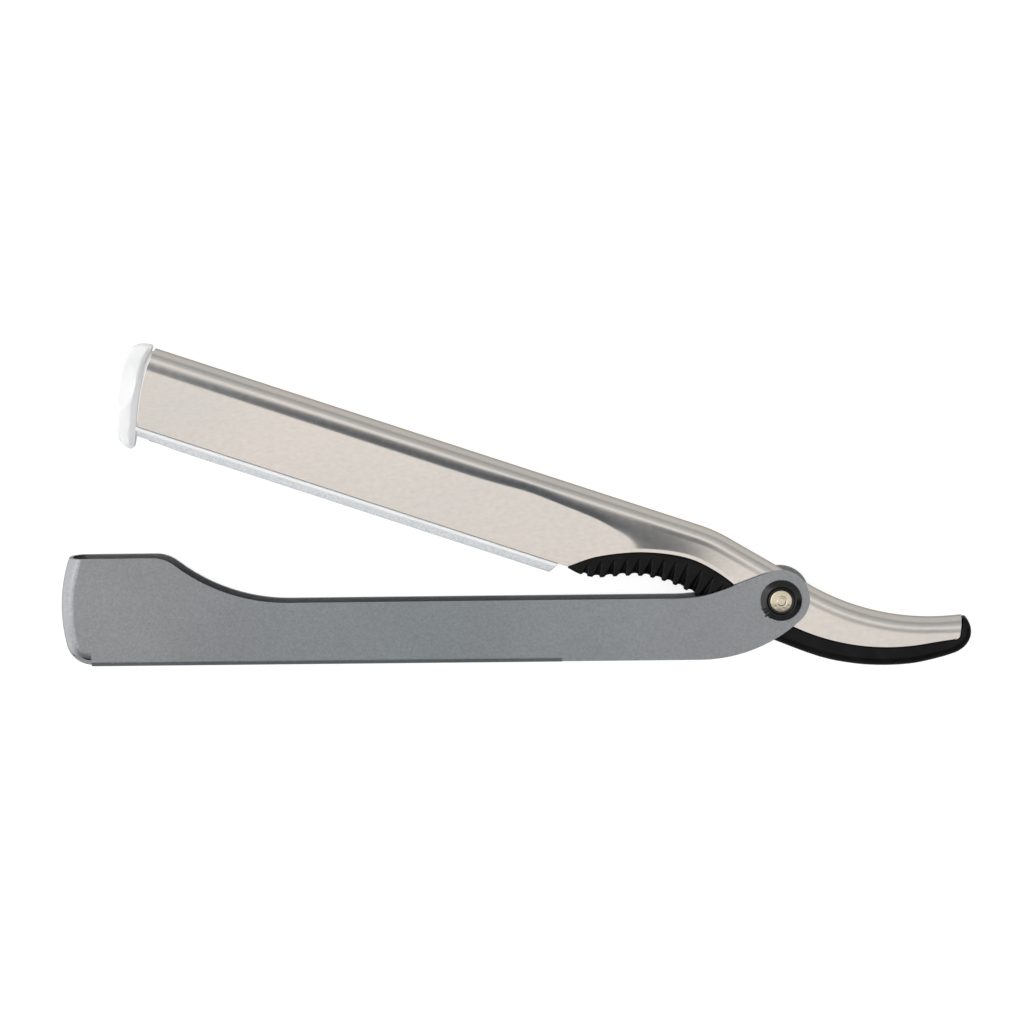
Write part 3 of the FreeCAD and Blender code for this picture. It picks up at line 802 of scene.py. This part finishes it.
def make_collar(name, mirror):
    base, lip = OUTER_HALF, OUTER_HALF + 0.8
    bore, sleeve = 1.55, 2.05
    profile = rounded([(bore, INNER_HALF + 0.02), (sleeve, INNER_HALF + 0.02), (sleeve, base), (3.5, base),
                       (3.5, base + 0.22), (3.36, base + 0.3), (2.56, lip), (2.42, lip - 0.02),
                       (2.2, base + 0.42), (bore, base + 0.42), (bore, INNER_HALF + 0.02)])
    obj = turned(name, profile, HANDLE, mirror, None if mirror else collar_marks, 360)
    node = "outer_collar_back" if mirror else "outer_collar_front"
    settle(obj, collar_black, "handle", [node])


def rivet_marks(a, r, z):
    """The riveting punch's ring, deeper on one side, and a few pits near the rim."""
    if z > OUTER_HALF + 0.6:
        x, y = r * math.cos(a), r * math.sin(a)
        ring = math.hypot(x - 0.02, y + 0.02)
        strength = 0.35 + 0.65 * (0.5 + 0.5 * math.cos(a + 0.25))
        z -= 0.045 * strength * math.exp(-((ring - 0.82) / 0.12) ** 2)
        z += 0.03 * strength * math.exp(-((ring - 0.62) / 0.1) ** 2)
        for pit_x, pit_y, deep, size in PITS:
            z -= deep * math.exp(-(((x - pit_x) ** 2 + (y - pit_y) ** 2) / size))
    return r, z


def make_rivet():
    seat = OUTER_HALF + 0.44
    reach = 1.88
    head = [(reach * k / 34, seat + 0.5 - 0.1 * (k / 34) ** 2) for k in range(0, 33)]
    rim = [(reach - 0.07, seat + 0.36), (reach - 0.02, seat + 0.3), (reach, seat + 0.2), (reach, seat)]
    shank = [(1.5, seat), (1.5, -seat)]
    tail = [(reach - 0.05, -seat), (reach - 0.05, -seat - 0.18), (reach - 0.1, -seat - 0.28),
            (1.5, -seat - 0.42), (0.8, -seat - 0.46), (0.6, -seat - 0.36), (0.3, -seat - 0.31),
            (0, -seat - 0.3)]
    obj = turned("rivet", head + rim + shank + tail, HANDLE, False, rivet_marks, 120)
    settle(obj, rivet_metal, "handle", ["pivot_rivet"])


make_holder()
make_insert()
make_carrier()
make_collar("collar_front", False)
make_collar("collar_back", True)
make_rivet()


# ---- camera ----
SCALE = 0.1692                # mm per pixel at the handle's front side
PICTURE = 1024                # pixels across
SENSOR = 36.0
DISTANCE = 600.0              # from the camera to what it looks at, mm
TILT = 8.7                    # degrees from straight down
SIDE = 30.0                   # how far the camera stands to the right, mm
ROLL = -1.143
AIM = Vector((-45.306, 15.707, 2.9))        # from the pivot, mm


def make_camera():
    target = PIVOT + AIM * MM
    tilt = math.radians(TILT)
    back = Vector((SIDE, DISTANCE * math.sin(tilt), DISTANCE * math.cos(tilt))).normalized()
    place = target + back * DISTANCE * MM
    forward = -back
    right = forward.cross(Vector((0, 1, 0))).normalized()
    up = right.cross(forward)
    c, s = math.cos(math.radians(ROLL)), math.sin(math.radians(ROLL))
    across = c * right + s * up
    upward = -s * right + c * up
    data = bpy.data.cameras.new("camera")
    data.sensor_width = SENSOR
    data.lens = SENSOR * (DISTANCE / SCALE) / PICTURE
    data.clip_start = 0.01
    data.clip_end = 20
    cam = bpy.data.objects.new("camera", data)
    bpy.context.scene.collection.objects.link(cam)
    pose = Matrix.Identity(4)
    for i, v in enumerate((across, upward, back)):
        pose.col[i] = (v.x, v.y, v.z, 0)
    pose.col[3] = (place.x, place.y, place.z, 1)
    cam.matrix_world = pose
    bpy.context.scene.camera = cam


make_camera()


# ---- studio ----
FLOOR_SIZE = 6.0              # metres
FLOOR_GLOW = 0.75
LAMP_SIZE = 1.6
LAMP_HEIGHT = 1.0
LAMP_POWER = 9.0


def make_floor():
    bpy.ops.mesh.primitive_plane_add(size=FLOOR_SIZE, location=(0, 0, 0))
    floor = bpy.context.object
    floor.name = "floor"
    mat = node_material("floor", (0.5, 0.5, 0.5), 0.95, 0.0, Specular_IOR_Level=0.0)
    mottle(mat, noise(mat, 0.01, 1.0), (0.36, 0.36, 0.36), (0.37, 0.37, 0.37))
    shader_of(mat).inputs["Emission Color"].default_value = (1, 1, 1, 1)
    shader_of(mat).inputs["Emission Strength"].default_value = FLOOR_GLOW
    floor.data.materials.append(mat)
    floor.visible_glossy = False


# the studio's brightness by the direction's lean in degrees from straight up, towards +Y
SKY = [
    (-90, (0.32, 0.33, 0.35)), (-60, (0.30, 0.31, 0.33)), (-44, (0.16, 0.165, 0.175)),
    (-30, (0.105, 0.11, 0.12)), (-21, (0.20, 0.21, 0.22)), (-8, (0.50, 0.50, 0.50)),
    (3, (0.74, 0.73, 0.72)), (17, (0.62, 0.61, 0.60)), (29, (0.54, 0.53, 0.52)), (44, (0.50, 0.49, 0.48)),
    (57, (0.42, 0.41, 0.40)), (70, (0.58, 0.565, 0.54)), (90, (0.66, 0.64, 0.61)),
]
# soft boxes: lean towards +Y from, to, lean towards +X from, to, softness, all in degrees, and the colour
BOXES = [
    (-15.0, -1.0, -12.5, 5, 4.0, (1.0, 0.95, 0.90)),
    (-16.0, -3.0, 3, 18, 4.0, (1.0, 0.955, 0.90)),
    (-20.0, 40.0, -70, -20, 8.0, (2.5, 2.46, 2.4)),
]
# a bright wall on the left: it fades in as the direction's X goes from the first to the second
SIDE_WALL = (-0.55, -0.85, (1.55, 1.54, 1.52))


def make_sky():
    world = bpy.data.worlds.new("studio")
    bpy.context.scene.world = world
    world.use_nodes = True
    tree = world.node_tree
    place = tree.nodes.new("ShaderNodeTexCoord")
    split = tree.nodes.new("ShaderNodeSeparateXYZ")
    tree.links.new(place.outputs["Generated"], split.inputs["Vector"])

    def math_node(operation, a, b):
        node = tree.nodes.new("ShaderNodeMath")
        node.operation = operation
        tree.links.new(a, node.inputs[0])
        tree.links.new(b, node.inputs[1])
        return node.outputs["Value"]

    def step(value, start, end):
        node = tree.nodes.new("ShaderNodeMapRange")
        node.interpolation_type = "SMOOTHSTEP"
        node.inputs["From Min"].default_value = math.radians(start)
        node.inputs["From Max"].default_value = math.radians(end)
        tree.links.new(value, node.inputs["Value"])
        return node.outputs["Result"]

    def blend(below, amount, colour):
        mix = tree.nodes.new("ShaderNodeMix")
        mix.data_type = "RGBA"
        mix.inputs[MIX_B].default_value = (*colour, 1)
        tree.links.new(amount, mix.inputs[MIX_SHARE])
        tree.links.new(below, mix.inputs[MIX_A])
        return mix.outputs[MIX_RESULT]

    lean_y = math_node("ARCTAN2", split.outputs["Y"], split.outputs["Z"])
    lean_x = math_node("ARCTAN2", split.outputs["X"], split.outputs["Z"])
    share = tree.nodes.new("ShaderNodeMapRange")
    share.inputs["From Min"].default_value = -math.pi / 2
    share.inputs["From Max"].default_value = math.pi / 2
    tree.links.new(lean_y, share.inputs["Value"])
    bands = tree.nodes.new("ShaderNodeValToRGB")
    while len(bands.color_ramp.elements) < len(SKY):
        bands.color_ramp.elements.new(0.5)
    for element, (angle, colour) in zip(bands.color_ramp.elements, SKY):
        element.position = (angle + 90) / 180
        element.color = (*colour, 1)
    tree.links.new(share.outputs["Result"], bands.inputs["Fac"])
    colour_now = bands.outputs["Color"]
    for y0, y1, x0, x1, soft, colour in BOXES:
        rise = math_node("MULTIPLY", step(lean_y, y0 - soft, y0 + soft), step(lean_x, x0 - soft, x0 + soft))
        fall = math_node("MULTIPLY", step(lean_y, y1 + soft, y1 - soft), step(lean_x, x1 + soft, x1 - soft))
        colour_now = blend(colour_now, math_node("MULTIPLY", rise, fall), colour)
    wall = tree.nodes.new("ShaderNodeMapRange")
    wall.interpolation_type = "SMOOTHSTEP"
    wall.inputs["From Min"].default_value = SIDE_WALL[0]
    wall.inputs["From Max"].default_value = SIDE_WALL[1]
    tree.links.new(split.outputs["X"], wall.inputs["Value"])
    colour_now = blend(colour_now, wall.outputs["Result"], SIDE_WALL[2])
    tree.links.new(colour_now, tree.nodes["Background"].inputs["Color"])


def make_lamp():
    data = bpy.data.lights.new("overhead", "AREA")
    data.shape = "RECTANGLE"
    data.size = LAMP_SIZE
    data.size_y = LAMP_SIZE
    data.energy = LAMP_POWER
    lamp = bpy.data.objects.new("overhead", data)
    lamp.location = (0, 0, LAMP_HEIGHT)
    lamp.visible_glossy = False
    bpy.context.scene.collection.objects.link(lamp)


make_floor()
make_sky()
make_lamp()
bpy.context.scene.view_settings.view_transform = "Standard"
